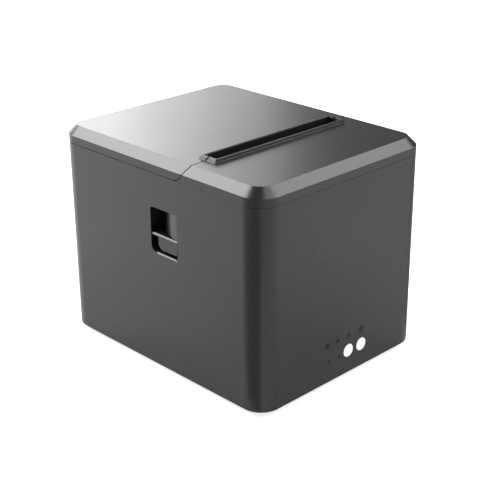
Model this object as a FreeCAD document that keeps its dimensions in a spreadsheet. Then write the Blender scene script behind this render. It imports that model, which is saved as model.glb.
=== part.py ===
"""Desktop receipt printer for 80 mm paper: a top-exit thermal printer with a hinged lid.

Frame: millimetres, +Z up, the front towards -Y, the left side towards -X. The origin lies on the
surface that the feet rest on, below the middle of the case.
"""
import FreeCAD, Part
import math
import os
import re

import Sketcher

# ---------------------------------------------------------------------------------------------
# Driving dimensions
# ---------------------------------------------------------------------------------------------
SIZES = {
    # outside of the case
    "case_width": 140, "case_depth": 176, "body_height": 135.7, "foot_height": 3.1,
    "corner_radius": 14, "top_chamfer": 5.3, "bottom_chamfer": 0.8, "wall": 2.5,
    # seam between the case, the front cover and the lid
    "seam_drop": 5, "seam_top_setback": 59.2, "seam_slope": 57.8, "seam_round": 8,
    "seam_gap": 0.25, "lid_lift": 0.25, "join_gap": 0.2, "flange": 3.5,
    "lip": 1.2, "lip_gap": 0.3, "lip_rise": 2.5,
    # raised rim round the paper slot, set back from the front face
    "rim_rise": 2.4, "rim_half": 55.2, "rim_front": 51.3, "rim_rear": 66.1,
    "rim_land": 0.5, "slot_half": 52.5, "slot_front": 52, "slot_rear": 62.7,
    "skirt": 1.5, "skirt_drop": 6.3,
    # finger pocket in the left side, set back from the front face
    "pocket_front": 67.7, "pocket_rear": 90.9, "pocket_floor": 79.4, "pocket_top": 107.5,
    "pocket_depth": 13, "pocket_wall": 1.5, "pocket_round": 2, "pocket_low_round": 4,
    "pocket_lip": 0.8, "scoop_radius": 34, "scoop_stand": 0.15,
    # release lever and lock
    "lever_bottom": 81.6, "lever_top": 91.2, "lever_set_in": 0.1, "lever_reach": 12,
    "lever_gap": 0.9, "lever_front_gap": 0.3, "lever_heel": 5, "lever_brim": 1.3,
    "lever_round": 4.5, "lever_soft": 0.8, "hub_room": 0.8,
    "lock_setback": 68.5, "lock_height": 85.85, "lock_shaft_radius": 3, "lock_hub_radius": 5.5,
    "arm_thick": 1.4, "arm_inner": 45.3, "arm_gap": 0.35, "running_gap": 0.05,
    # hinge
    "hinge_inset": 4.2, "barrel_radius": 6, "barrel_relief": 0.4, "barrel_bore": 3.4,
    "barrel_half": 65.7, "barrel_end_gap": 0.3, "knuckle_at": 48, "knuckle_width": 10,
    "knuckle_radius": 3,
    "knuckle_gap": 0.4, "knuckle_reach": 16, "pin_radius": 1.5, "pin_length": 24,
    "lid_knuckle": 8.6,
    # paper well
    "well_width": 80.8, "well_radius": 42, "well_wall": 2, "well_side": 1.6, "well_middle": 32,
    "well_height": 66, "well_front_top": 103, "deck_top": 120, "deck_half": 65.6,
    "deck_front": -2, "deck_rear": 80, "guide_reach": 16.4, "guide_thick": 2,
    # platen and its gear, on the lid
    "platen_setback": 64.7, "platen_height": 113.5, "platen_radius": 7, "platen_half": 40.5,
    "shaft_radius": 3, "shaft_end": 51.8, "bush_radius": 4.5, "bush_inner": 40.9,
    "bush_outer": 46.9, "ear_inner": 41.2, "ear_outer": 42.4, "bracket_sheet": 1.6,
    "gear_inner": 47.4, "gear_outer": 51.4, "wheel_inner": 52.4, "wheel_outer": 55.9,
    # gear train
    "gear_module": 0.6, "platen_teeth": 30, "idler_teeth": 18, "wheel_teeth": 56,
    "pinion_teeth": 14, "backlash": 0.09, "motor_bearing": 35, "post_radius": 2,
    # print mechanism
    "plate_inner": 43.5, "plate_outer": 45, "plate_front": -60, "plate_rear": -13.6,
    "plate_top": 121.2, "plate_foot": 14, "slot_seat_gap": 0.1, "slot_gap": 0.5,
    "head_tilt": 7.9, "head_gap": 0.25, "ceramic": 0.8, "sink": 5, "head_half": 42.5,
    "spring_radius": 3, "spring_wire": 0.8, "spring_turns": 6, "cross_from": 25.5,
    "cross_thick": 1.5, "cross_half_height": 8,
    "motor_radius": 14, "motor_length": 22,
    # paper cutter
    "blade_level": 123.05, "blade_thick": 0.8, "blade_half": 40.9, "blade_gap": 0.15,
    "blade_front": -78, "blade_edge": -31.6, "blade_vee": 2.6, "blade_stroke": 9,
    "fixed_blade_thick": 1, "fixed_blade_edge": -29.6, "fixed_blade_rear": -17.5, "blade_seat_front": -21.8,
    "cutter_half": 46.8, "cutter_front": -80, "cutter_rear": -32.8, "cutter_sheet": 1.5,
    "cutter_top": 129.4, "cutter_teeth": 16, "cutter_x": -25, "cutter_y": -64,
    "rack_width": 6, "rack_top": 127.2, "cutter_motor_radius": 10, "cutter_motor_length": 25,
    # liner inside the lid
    "liner_half": 65.4, "liner_front": -23.6, "liner_rear": 76, "liner_sheet": 2,
    "liner_wall_foot": 125.4,
    # buttons and indicators on the front face
    "button_radius": 4.1, "button_gap": 0.2, "button_height": 18.6, "button_flange": 5,
    "power_button_at": 4.3, "feed_button_at": 15.9, "button_length": 6.2, "button_travel": 0.8,
    "lens_radius": 1.2, "lens_height": 17.5, "lens_left": -13.1, "lens_right": -4,
    "lens_length": 6,
    # boards, sockets and base
    "base_thick": 3, "base_gap": 0.2, "board_thick": 1.6, "board_height": 9.5,
    "foot_radius": 7, "foot_x": 50, "foot_y": 66, "post_x": 60, "post_y": 78, "cover_screw_y": -71,
    "cable_thick": 0.4, "socket_rear": 87.4, "socket_gap": 0.3, "screw_radius": 1.5, "screw_head": 2.75,
}

doc = FreeCAD.newDocument("ReceiptPrinter")
sheet = doc.addObject("Spreadsheet::Sheet", "Sizes")
for row, (alias, size) in enumerate(SIZES.items(), start=1):
    sheet.set(f"A{row}", str(size))
    sheet.setAlias(f"A{row}", alias)
doc.recompute()

# Places that follow from the driving dimensions, as expressions.
SIDE = "(case_width / 2)"
FRONT = "(-case_depth / 2)"
REAR = "(case_depth / 2)"
FLOOR = "foot_height"
TOP = "(foot_height + body_height)"
SEAM = f"({TOP} - top_chamfer - seam_drop)"
SEAM_FOOT = f"({FRONT} + seam_top_setback + ({TOP} - {SEAM}) / tan(seam_slope))"
PLATEN_Y = f"({FRONT} + platen_setback)"
PLATEN_Z = "platen_height"
HINGE_Y = f"({REAR} - hinge_inset)"
LOCK_Y = f"({FRONT} + lock_setback)"
LOCK_Z = "lock_height"
BASE_TOP = f"({FLOOR} + base_thick)"
BOARD_TOP = "(board_height + board_thick)"
SLOT_FRONT = f"({FRONT} + slot_front)"
SLOT_REAR = f"({FRONT} + slot_rear)"
POCKET_FRONT = f"({FRONT} + pocket_front)"
POCKET_REAR = f"({FRONT} + pocket_rear)"
BEYOND = 10  # how far a cutting tool runs past the surface it cuts

NODES = []


# ---------------------------------------------------------------------------------------------
# Ways of making solids
# ---------------------------------------------------------------------------------------------
def rule(text):
    """The document's expression for a size: each alias in it is looked up in the sheet."""
    return re.sub(r"[a-z]\w*", lambda word: ("Sizes." if word[0] in SIZES else "") + word[0], str(text))


def value(text):
    """The number that a size stands for."""
    return float(sheet.evalExpression(str(text)))


def bind(thing, prop, text):
    thing.setExpression(prop, rule(text))


def place(solid, x, y, z):
    for axis, text in zip("xyz", (x, y, z)):
        bind(solid, f".Placement.Base.{axis}", text)
    return solid


def box(name, x, y, z):
    """A block, from the low and high value along each axis."""
    block = doc.addObject("Part::Box", name)
    for prop, (low, high) in zip(("Length", "Width", "Height"), (x, y, z)):
        bind(block, prop, f"({high}) - ({low})")
    return place(block, x[0], y[0], z[0])


TURN = {
    "x": FreeCAD.Rotation(FreeCAD.Vector(1, 1, 1), 120),
    "y": FreeCAD.Rotation(FreeCAD.Vector(1, 0, 0), -90),
    "z": FreeCAD.Rotation(),
}


def rod(name, radius, axis, start, length):
    """A cylinder that runs from start towards + along an axis."""
    cylinder = doc.addObject("Part::Cylinder", name)
    cylinder.Placement = FreeCAD.Placement(FreeCAD.Vector(), TURN[axis])
    bind(cylinder, "Radius", radius)
    bind(cylinder, "Height", length)
    return place(cylinder, *start)


def fuse(name, *solids):
    joined = doc.addObject("Part::MultiFuse", name)
    joined.Shapes = list(solids)
    return joined


def cut(name, solid, *tools):
    """The solid less its tools."""
    result = doc.addObject("Part::Cut", name)
    result.Base = solid
    result.Tool = tools[0] if len(tools) == 1 else fuse(name + "_tools", *tools)
    return result


def common(name, one, other):
    result = doc.addObject("Part::MultiCommon", name)
    result.Shapes = [one, other]
    return result


def group(name, solids):
    """Separate solids that share one node."""
    together = doc.addObject("Part::Compound", name)
    together.Links = list(solids)
    return together


def node(name, solid):
    """Marks a solid as a finished sub-part, which is written under this name."""
    solid.Label = name
    NODES.append(solid)
    return solid


def in_plane(point, plane):
    return {"XY": (point.x, point.y), "XZ": (point.x, point.z), "YZ": (point.y, point.z)}[plane]


def soften(body, kind, size, chosen):
    """Adds a fillet or a chamfer to those edges of the body that chosen(edge) accepts."""
    doc.recompute()
    last = body.Tip
    names = [f"Edge{n}" for n, edge in enumerate(last.Shape.Edges, start=1) if chosen(edge)]
    feature = body.newObject("PartDesign::" + kind, f"{body.Name}_{kind}")
    feature.Base = (last, names)
    bind(feature, {"Fillet": "Radius", "Chamfer": "Size"}[kind], size)
    body.Tip = feature


def prism(name, plane, outline, low, high, rounds=()):
    """A body: a closed outline on an origin plane, padded from low to high along the third axis.

    rounds names corners of the outline, as pairs of an index and a radius."""
    body = doc.addObject("PartDesign::Body", name)
    origin_plane = next(f for f in body.Origin.OriginFeatures if f.Role == plane + "_Plane")
    sketch = body.newObject("Sketcher::SketchObject", name + "_outline")
    sketch.AttachmentSupport = (origin_plane, "")
    sketch.MapMode = "FlatFace"
    corners = [FreeCAD.Vector(value(u), value(v), 0) for u, v in outline]
    for here, there in zip(corners, corners[1:] + corners[:1]):
        sketch.addGeometry(Part.LineSegment(here, there), False)
    for line in range(len(corners)):
        following = (line + 1) % len(corners)
        sketch.addConstraint(Sketcher.Constraint("Coincident", line, 2, following, 1))
    for line, (corner, texts) in enumerate(zip(corners, outline)):
        for kind, size, text in zip(("DistanceX", "DistanceY"), corner, texts):
            index = sketch.addConstraint(Sketcher.Constraint(kind, -1, 1, line, 1, size))
            bind(sketch, f"Constraints[{index}]", text)
    start = f"-({high})" if plane == "XZ" else low  # the XZ plane faces -Y
    bind(sketch, ".AttachmentOffset.Base.z", start)
    pad = body.newObject("PartDesign::Pad", name + "_pad")
    pad.Profile = sketch
    bind(pad, "Length", f"({high}) - ({low})")
    for radius in sorted({radius for _, radius in rounds}):
        spots = [corners[index] for index, own in rounds if own == radius]

        def at_corner(edge):
            ends = [in_plane(vertex.Point, plane) for vertex in edge.Vertexes]
            return any(all(math.dist(end, (s.x, s.y)) < 1e-4 for end in ends) for s in spots)

        soften(body, "Fillet", radius, at_corner)
    return body


def rectangle(x, y):
    return [(x[0], y[0]), (x[1], y[0]), (x[1], y[1]), (x[0], y[1])]


def rounded_block(name, half_x, half_y, z, radius):
    """A block centred on the Z axis, with rounded upright edges."""
    outline = rectangle((f"-({half_x})", half_x), (f"-({half_y})", half_y))
    return prism(name, "XY", outline, z[0], z[1], [(corner, radius) for corner in range(4)])


def at_level(text):
    """A test for edges that lie wholly at one height."""
    height = value(text)
    return lambda edge: all(abs(vertex.Z - height) < 1e-4 for vertex in edge.Vertexes)


def shaped(name, shape, turn=None, spot=(0, 0, 0)):
    """A feature whose shape comes from Part's own functions, turned and then put at its spot."""
    feature = doc.addObject("Part::Feature", name)
    feature.Shape = shape
    feature.Placement = FreeCAD.Placement(FreeCAD.Vector(), turn or FreeCAD.Rotation())
    return place(feature, *spot)


def polar(radius, angle):
    return FreeCAD.Vector(radius * math.cos(angle), radius * math.sin(angle), 0)


def gear_shape(teeth, length, bore, turn):
    """An involute spur gear along +Z, with one tooth centred at the angle turn."""
    module = value("gear_module")
    pressure = math.radians(20)
    pitch = module * teeth / 2
    base = pitch * math.cos(pressure)
    tip = pitch + module
    root = pitch - 1.25 * module
    involute = math.tan(pressure) - pressure
    half_tooth = math.pi / (2 * teeth) - value("backlash") / (2 * pitch)
    flank = []
    start = max(base, root)
    for step in range(5):
        radius = start + (tip - start) * step / 4
        steepness = math.acos(min(1, base / radius))
        flank.append((radius, half_tooth + involute - (math.tan(steepness) - steepness)))
    points = []
    for tooth in range(teeth):
        middle = turn + 2 * math.pi * tooth / teeth
        points.append(polar(root, middle - flank[0][1]))
        points += [polar(radius, middle - angle) for radius, angle in flank]
        points += [polar(radius, middle + angle) for radius, angle in reversed(flank)]
        points.append(polar(root, middle + flank[0][1]))
    distinct = [p for n, p in enumerate(points) if p.distanceToPoint(points[n - 1]) > 1e-5]
    face = Part.Face(Part.makePolygon(distinct + distinct[:1]))
    return face.extrude(FreeCAD.Vector(0, 0, length)).cut(Part.makeCylinder(bore, length))


def coil_shape(radius, wire, length, turns):
    """A helical spring along +Z, whose outside radius and overall length are given."""
    mean = radius - wire / 2
    rise = length - wire
    helix = Part.makeHelix(rise / turns, rise, mean)
    section = Part.Wire(Part.makeCircle(wire / 2, FreeCAD.Vector(mean, 0, 0), FreeCAD.Vector(0, 1, 0)))
    coil = Part.Wire(helix.Edges).makePipeShell([section], True, True)
    coil.translate(FreeCAD.Vector(0, 0, wire / 2))
    return coil


def screw(name, x, y, seat, length, way):
    """A pan-head screw along Z: its head lies under the seat if way is 1, and on it if way is -1."""
    head_length = 1.6
    if way > 0:
        head_start, shank_start = f"({seat}) - {head_length}", seat
    else:
        head_start, shank_start = seat, f"({seat}) - ({length})"
    head = rod(name + "_head", "screw_head", "z", (x, y, head_start), head_length)
    shank = rod(name + "_shank", "screw_radius", "z", (x, y, shank_start), length)
    bit_start = f"({seat}) - {head_length} - 1" if way > 0 else f"({seat}) + {head_length} - 1"
    blades = [
        box(name + "_recess_x", (f"({x}) - 1.5", f"({x}) + 1.5"), (f"({y}) - 0.35", f"({y}) + 0.35"),
            (bit_start, f"{bit_start} + 2")),
        box(name + "_recess_y", (f"({x}) - 0.35", f"({x}) + 0.35"), (f"({y}) - 1.5", f"({y}) + 1.5"),
            (bit_start, f"{bit_start} + 2")),
    ]
    return cut(name, fuse(name + "_blank", head, shank), *blades)


def low_high(text):
    """A size on the low side and on the high side of the middle."""
    return (f"-({text})", text)


# ---------------------------------------------------------------------------------------------
# Outer form, shared by the case, the front cover and the lid
# ---------------------------------------------------------------------------------------------
def outer_form():
    """The closed outer shape: a block with rounded upright edges, a chamfered top and the slot's rim."""
    block = rounded_block("outer_block", SIDE, REAR, (FLOOR, TOP), "corner_radius")
    soften(block, "Chamfer", "top_chamfer", at_level(TOP))
    rim = doc.addObject("Part::Wedge", "slot_rim")
    rim.Placement = FreeCAD.Placement(FreeCAD.Vector(), FreeCAD.Rotation(FreeCAD.Vector(1, 0, 0), 90))
    place(rim, 0, 0, TOP)
    reach = {
        "Xmin": "-rim_half", "Xmax": "rim_half", "X2min": "-slot_half - rim_land",
        "X2max": "slot_half + rim_land", "Ymin": "-1", "Ymax": "rim_rise",
        "Zmin": f"-({FRONT} + rim_rear)", "Zmax": f"-({FRONT} + rim_front)",
        "Z2min": f"-({SLOT_REAR} + rim_land)", "Z2max": f"-({SLOT_FRONT} - rim_land)",
    }
    for prop, text in reach.items():
        bind(rim, prop, text)
    return fuse("outer_form", block, rim)


def inner_form():
    """The hollow inside the covers, one wall thickness in."""
    block = rounded_block("inner_block", f"{SIDE} - wall", f"{REAR} - wall",
                          (f"{SEAM} - {BEYOND}", f"{TOP} - wall"), "corner_radius - wall")
    soften(block, "Chamfer", "top_chamfer - (2 - sqrt(2)) * wall", at_level(f"{TOP} - wall"))
    return block


def lid_zone(name, gap):
    """What the lid takes up behind the seam, grown by a gap."""
    shift = f"({gap}) / sin(seam_slope)"
    low = f"{SEAM} - ({gap})"
    high = f"{TOP} + {BEYOND}"
    foot = f"{SEAM_FOOT} + ({gap}) / tan(seam_slope) - {shift}"
    head = f"{SEAM_FOOT} - ({high} - {SEAM}) / tan(seam_slope) - {shift}"
    outline = [(foot, low), (f"{REAR} + {BEYOND}", low), (f"{REAR} + {BEYOND}", high), (head, high)]
    return prism(name, "YZ", outline, f"-{SIDE} - {BEYOND}", f"{SIDE} + {BEYOND}",
                 [(0, f"seam_round + {gap}")])


OUTER = outer_form()
INNER = inner_form()
HINGE = (HINGE_Y, SEAM)


def across(name, radius, yz, x):
    """A rod along X between two values."""
    return rod(name, radius, "x", (x[0], *yz), f"({x[1]}) - ({x[0]})")


def knuckle_span(side, extra="0"):
    """The stretch along X of a case knuckle, on the left (-1) or the right (1)."""
    middle = f"{side} * knuckle_at"
    half = f"(knuckle_width / 2 + {extra})"
    return f"{middle} - {half}", f"{middle} + {half}"


# ---------------------------------------------------------------------------------------------
# Case
# ---------------------------------------------------------------------------------------------
SOCKETS = {
    # name: middle along X, width, height, depth
    "power_inlet": (-44, 14, 13, 15),
    "usb_socket": (-20, 12, 11, 16.5),
    "lan_socket": (4, 16, 13.5, 18),
    "drawer_socket": (28, 13.2, 13, 15),
}


def scoop_drum(name, radius):
    """An upright drum inside the case. The pocket's scoop rolls in over it, from the pocket's front edge."""
    crest = f"{POCKET_FRONT} - sqrt(scoop_stand * (2 * scoop_radius - scoop_stand))"
    middle = f"scoop_radius - scoop_stand - {SIDE}"
    return rod(name, radius, "z", (middle, crest, 0), f"pocket_top + {BEYOND}")


def pocket_solids():
    """The walls round the finger pocket, which stand inward from the left side."""
    inner = f"-{SIDE} + pocket_depth + pocket_wall"
    skin = f"-{SIDE} + wall / 2"
    rear = f"{POCKET_REAR} + pocket_wall"
    block = box("pocket_block", (skin, inner), (f"{POCKET_FRONT} - pocket_wall", rear),
                ("lever_top + hub_room", "pocket_top + pocket_wall"))
    scoop = cut("pocket_scoop", block, scoop_drum("scoop_inside", "scoop_radius - pocket_wall"))
    floor = box("pocket_floor_wall", (skin, inner), (POCKET_FRONT, rear),
                ("pocket_floor - pocket_wall", "pocket_floor"))
    back = box("pocket_back_wall", (skin, inner), (POCKET_REAR, rear),
               ("pocket_floor - pocket_wall", "pocket_top + pocket_wall"))
    return scoop, floor, back


def pocket_hollow():
    """The finger pocket: a scoop that rolls in to the rear, an opening for the lever and a chamfered lip."""
    outside = f"-{SIDE} - {BEYOND}"
    deepest = f"-{SIDE} + pocket_depth"
    outline = rectangle((POCKET_FRONT, POCKET_REAR), ("pocket_floor", "pocket_top"))
    mouth = prism("pocket_mouth", "YZ", outline, outside, f"{deepest} + {BEYOND}",
                  [(0, "pocket_round"), (1, "pocket_low_round"), (2, "pocket_round"), (3, "pocket_round")])
    depth = box("pocket_reach", (outside, deepest), (POCKET_FRONT, POCKET_REAR),
                ("lever_top", f"pocket_top + {BEYOND}"))
    scoop = cut("scoop_hollow", depth, scoop_drum("scoop_face", "scoop_radius"))
    opening = box("lever_opening", (outside, f"{deepest} + {BEYOND}"), (POCKET_FRONT, POCKET_REAR),
                  (0, "lever_top + hub_room"))
    lip = prism("pocket_lip_chamfer", "XZ", [
        (f"-{SIDE} + pocket_lip", "pocket_floor"), (f"-{SIDE} - 1", "pocket_floor"),
        (f"-{SIDE} - 1", "pocket_floor - pocket_lip - 1"),
    ], POCKET_FRONT, f"{POCKET_REAR} - pocket_low_round")
    hollow = common("pocket_inside", mouth, fuse("pocket_shapes", scoop, opening))
    return fuse("pocket_hollow", hollow, lip)


def case_shell():
    top = f"{SEAM} - join_gap"
    outside = rounded_block("case_outside", SIDE, REAR, (FLOOR, top), "corner_radius")
    soften(outside, "Chamfer", "bottom_chamfer", at_level(FLOOR))
    inside = rounded_block("case_inside", f"{SIDE} - wall", f"{REAR} - wall",
                           (f"{FLOOR} - 1", f"{top} + 1"), "corner_radius - wall")
    walls = cut("case_walls", outside, inside)
    relief = across("hinge_relief", "barrel_radius + barrel_relief", HINGE,
                    low_high("barrel_half + barrel_end_gap"))
    body = cut("case_relieved", walls, relief)

    added = list(pocket_solids())
    cuts = [pocket_hollow()]
    for side in (-1, 1):
        # lip that closes the seam from inside, along the sides
        lip_out = f"{side} * ({SIDE} - wall - lip_gap)"
        lip_in = f"{side} * ({SIDE} - wall - lip_gap - lip)"
        wall_in = f"{side} * ({SIDE} - wall / 2)"
        spans = [sorted((lip_in, lip_out), key=value), sorted((lip_in, wall_in), key=value)]
        for n, run in enumerate((("-66", "-32"), ("-14", "72"))):
            added.append(box(f"lip_{side + 1}{n}", spans[0], run, (f"{SEAM} - 7", f"{SEAM} + lip_rise")))
            added.append(box(f"lip_root_{side + 1}{n}", spans[1], run, (f"{SEAM} - 7", f"{SEAM} - 2")))
        # hinge knuckle on an arm from the rear wall
        span = knuckle_span(side)
        arm_y = (f"{HINGE_Y} - knuckle_radius", HINGE_Y)
        added.append(across(f"case_knuckle_{side + 1}", "knuckle_radius", HINGE, span))
        added.append(box(f"knuckle_arm_{side + 1}", span, arm_y, (f"{SEAM} - knuckle_reach", SEAM)))
        added.append(box(f"knuckle_root_{side + 1}", span, (arm_y[0], f"{REAR} - wall / 2"),
                         (f"{SEAM} - knuckle_reach", f"{SEAM} - barrel_radius - 1.2")))
        cuts.append(across(f"knuckle_bore_{side + 1}", "pin_radius", HINGE, knuckle_span(side, "1")))
        # lug that the front cover is screwed to
        lug_x = sorted((f"{side} * 54", f"{side} * ({SIDE} - wall / 2)"), key=value)
        added.append(box(f"cover_lug_{side + 1}", lug_x, ("cover_screw_y - 5", "cover_screw_y + 5"),
                         (f"{SEAM} - 7.5", f"{SEAM} - 4")))
        cuts.append(rod(f"cover_lug_hole_{side + 1}", "screw_radius", "z",
                        (f"{side} * post_x", "cover_screw_y", f"{SEAM} - 9"), 8))
        for end in (-1, 1):
            # screw post in each corner, tied to both walls
            tag = f"{side + 1}{end + 1}"
            x, y = f"{side} * post_x", f"{end} * post_y"
            post_z = (f"{BASE_TOP} + base_gap", f"{BASE_TOP} + 14")
            added.append(rod(f"post_{tag}", 4, "z", (x, y, post_z[0]), "14 - base_gap"))
            rib_x = sorted((x, f"{side} * ({SIDE} - wall / 2)"), key=value)
            rib_y = sorted((y, f"{end} * ({REAR} - wall / 2)"), key=value)
            added.append(box(f"post_rib_x_{tag}", rib_x, (f"{end} * 75 - 0.8", f"{end} * 75 + 0.8"), post_z))
            rib_at = (f"{side} * 57 - 0.8", f"{side} * 57 + 0.8")
            added.append(box(f"post_rib_y_{tag}", rib_at, rib_y, post_z))
            cuts.append(rod(f"post_bore_{tag}", "screw_radius", "z", (x, y, post_z[0]), 11))
    for at in ("power_button_at", "feed_button_at"):
        spot = (at, f"{FRONT} - 1", "button_height")
        cuts.append(rod("hole_" + at, "button_radius + button_gap", "y", spot, "wall + 2"))
    for at in ("lens_left", "lens_right"):
        spot = (at, f"{FRONT} - 1", "lens_height")
        cuts.append(rod("hole_" + at, "lens_radius + 0.05", "y", spot, "wall + 2"))
    for name, (middle, width, height, _) in SOCKETS.items():
        half = f"({width} / 2 + socket_gap)"
        cuts.append(box(name + "_window", (f"{middle} - {half}", f"{middle} + {half}"),
                        (f"{REAR} - wall - 1", f"{REAR} + 1"),
                        (f"{BOARD_TOP} - socket_gap", f"{BOARD_TOP} + {height} + socket_gap")))
    return node("case_shell", cut("case_finished", fuse("case_with_fittings", body, *added), *cuts))


def base_plate():
    inset = "(wall + base_gap)"
    plate = rounded_block("base_blank", f"{SIDE} - {inset}", f"{REAR} - {inset}", (FLOOR, BASE_TOP),
                          f"corner_radius - {inset}")
    added, cuts = [], []
    for x, y in BOARD_POSTS:
        added.append(rod(f"board_post_{len(added)}", 3, "z", (x, y, FLOOR), f"board_height - {FLOOR}"))
        cuts.append(rod(f"board_post_bore_{len(added)}", "screw_radius", "z", (x, y, BASE_TOP), 10))
    for x, y in MECH_POSTS:
        added.append(rod(f"mech_post_{len(added)}", 4, "z", (x, y, FLOOR), f"plate_foot - {FLOOR}"))
        cuts.append(rod(f"mech_post_bore_{len(added)}", "screw_radius", "z", (x, y, BASE_TOP), 12))
    for side in (-1, 1):
        for end in (-1, 1):
            tag = f"{side + 1}{end + 1}"
            x, y = f"{side} * post_x", f"{end} * post_y"
            below = f"{FLOOR} - 1"
            foot_spot = (f"{side} * foot_x", f"{end} * foot_y", below)
            cuts.append(rod(f"base_hole_{tag}", "screw_radius", "z", (x, y, below), "base_thick + 2"))
            cuts.append(rod(f"base_sink_{tag}", "screw_head + 0.3", "z", (x, y, below), 2.8))
            cuts.append(rod(f"foot_hole_{tag}", 3, "z", foot_spot, "base_thick + 2"))
    for rib in range(-3, 4):
        added.append(box(f"base_rib_{rib + 3}", (f"{rib} * 14 - 0.75", f"{rib} * 14 + 0.75"), ("-84", "-64"),
                         (FLOOR, f"{BASE_TOP} + 2")))
    return node("base_plate", cut("base_finished", fuse("base_with_posts", plate, *added), *cuts))


def rubber_feet():
    feet = []
    for side in (-1, 1):
        for end in (-1, 1):
            tag = f"{side + 1}{end + 1}"
            spot = (f"{side} * foot_x", f"{end} * foot_y")
            pad = rod(f"foot_pad_{tag}", "foot_radius", "z", (*spot, 0), FLOOR)
            stub = rod(f"foot_stub_{tag}", 3, "z", (*spot, 0), f"{BASE_TOP} - 0.2")
            feet.append(fuse(f"foot_{tag}", pad, stub))
    return node("rubber_feet", group("feet", feet))


def base_screws():
    corners = [(side, end) for side in (-1, 1) for end in (-1, 1)]
    screws = [screw(f"base_screw_{n}", f"{side} * post_x", f"{end} * post_y", f"{FLOOR} + 1.8", 12, 1)
              for n, (side, end) in enumerate(corners)]
    return node("base_screws", group("base_screw_set", screws))


def front_cover():
    """The fixed cover ahead of the seam, with the front half of the slot's rim."""
    whole = box("front_span", low_high(f"{SIDE} + {BEYOND}"), (f"{FRONT} - {BEYOND}", -5),
                (SEAM, f"{TOP} + {BEYOND}"))
    zone = cut("front_zone", whole, lid_zone("lid_zone_grown", "seam_gap"))
    inner_edge = f"({SEAM_FOOT} - seam_gap / sin(seam_slope) - flange)"
    hollow_zone = prism("front_hollow_zone", "YZ", [
        (f"{FRONT} - {BEYOND}", f"{SEAM} - {BEYOND}"),
        (inner_edge, f"{SEAM} - {BEYOND}"), (inner_edge, SEAM),
        (f"{inner_edge} - ({TOP} + {BEYOND} - {SEAM}) / tan(seam_slope)", f"{TOP} + {BEYOND}"),
        (f"{FRONT} - {BEYOND}", f"{TOP} + {BEYOND}"),
    ], f"-{SIDE} - {BEYOND}", f"{SIDE} + {BEYOND}")
    hollow = common("front_hollow", INNER, hollow_zone)
    shell = cut("front_shell", common("front_block", OUTER, zone), hollow)
    skirt = box("slot_skirt", low_high("slot_half"), (f"{SLOT_FRONT} - skirt", SLOT_FRONT),
                (f"{TOP} - wall - skirt_drop", f"{TOP} - 1"))
    added, cuts = [skirt], [box("mouth", low_high("slot_half"), (SLOT_FRONT, 0), (0, f"{TOP} + {BEYOND}"))]
    for side in (-1, 1):
        start = f"{SEAM} - 4"
        spot = (f"{side} * post_x", "cover_screw_y")
        added.append(rod(f"cover_boss_{side + 1}", 3.5, "z", (*spot, start), f"{TOP} - 1 - ({start})"))
        cuts.append(rod(f"cover_boss_bore_{side + 1}", "screw_radius", "z", (*spot, f"{start} - 1"), 9))
    return node("front_cover", cut("front_cover_finished", fuse("front_cover_blank", shell, *added), *cuts))


def cover_screws():
    screws = [screw(f"cover_screw_{side + 1}", f"{side} * post_x", "cover_screw_y", f"{SEAM} - 7.5", 10, 1)
              for side in (-1, 1)]
    return node("cover_screws", group("cover_screw_set", screws))


def hinge_pins():
    pins = []
    for side in (-1, 1):
        middle = f"{side} * knuckle_at"
        pins.append(across(f"hinge_pin_{side + 1}", "pin_radius", HINGE,
                           (f"{middle} - pin_length / 2", f"{middle} + pin_length / 2")))
    return node("hinge_pins", group("hinge_pin_pair", pins))


def paper_well():
    """The bin that the roll lies in, with a deck round its mouth and a lip that guides the paper."""
    def hollow(name, grow, half, top):
        axis = ("well_middle", "well_height")
        drum = across(name + "_drum", f"well_radius + {grow}", axis, low_high(half))
        shaft = box(name + "_shaft", low_high(half),
                    (f"well_middle - well_radius - {grow}", f"well_middle + well_radius + {grow}"),
                    ("well_height", top))
        return fuse(name, drum, shaft)

    outside = hollow("well_outside", "well_wall", "well_width / 2 + well_side", "deck_top")
    deck = box("well_deck", low_high("deck_half"), ("deck_front", "deck_rear"), ("deck_top - 2", "deck_top"))
    lip = box("paper_lip", low_high("well_width / 2"),
              (f"well_middle - well_radius - guide_reach", "well_middle - well_radius"),
              ("well_front_top - guide_thick", "well_front_top"))
    low_front = box("well_front_cut", low_high(f"well_width / 2 + {BEYOND}"), (-40, "well_middle - 36"),
                    ("well_front_top", f"deck_top + {BEYOND}"))
    room_y = (f"{HINGE_Y} - knuckle_radius - 0.6", 90)
    knuckle_room = [box(f"deck_notch_{side + 1}", knuckle_span(side, "1.5"), room_y, (100, 130))
                    for side in (-1, 1)]
    ribs = []
    for side in (-1, 1):
        rib_x = sorted((f"{side} * well_width / 2", f"{side} * deck_half"), key=value)
        ribs.append(box(f"deck_rib_{side + 1}", rib_x, (40, 42), (96, "deck_top - 1")))
    blank = cut("well_cut", fuse("well_blank", outside, deck, *ribs), low_front)
    return node("paper_well", cut("well_finished", fuse("well_with_lip", blank, lip),
                                  hollow("well_inside", "0", "well_width / 2", f"deck_top + {BEYOND}"),
                                  *knuckle_room))


# ---------------------------------------------------------------------------------------------
# Print mechanism, fixed to the case
# ---------------------------------------------------------------------------------------------
BOARD_POSTS = [(-48, 14), (38, 14), (-48, 66), (38, 66)]
MECH_POSTS = [(-50, -52), (-50, -22), (50, -52), (50, -22)]


def tilted(solid):
    """Puts a solid that is drawn about the platen's axis in place, leaning with the print head."""
    lean = FreeCAD.Rotation(FreeCAD.Vector(1, 0, 0), value("head_tilt"))
    solid.Placement = FreeCAD.Placement(FreeCAD.Vector(), lean)
    bind(solid, ".Placement.Rotation.Angle", "head_tilt")
    return place(solid, 0, PLATEN_Y, PLATEN_Z)


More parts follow.
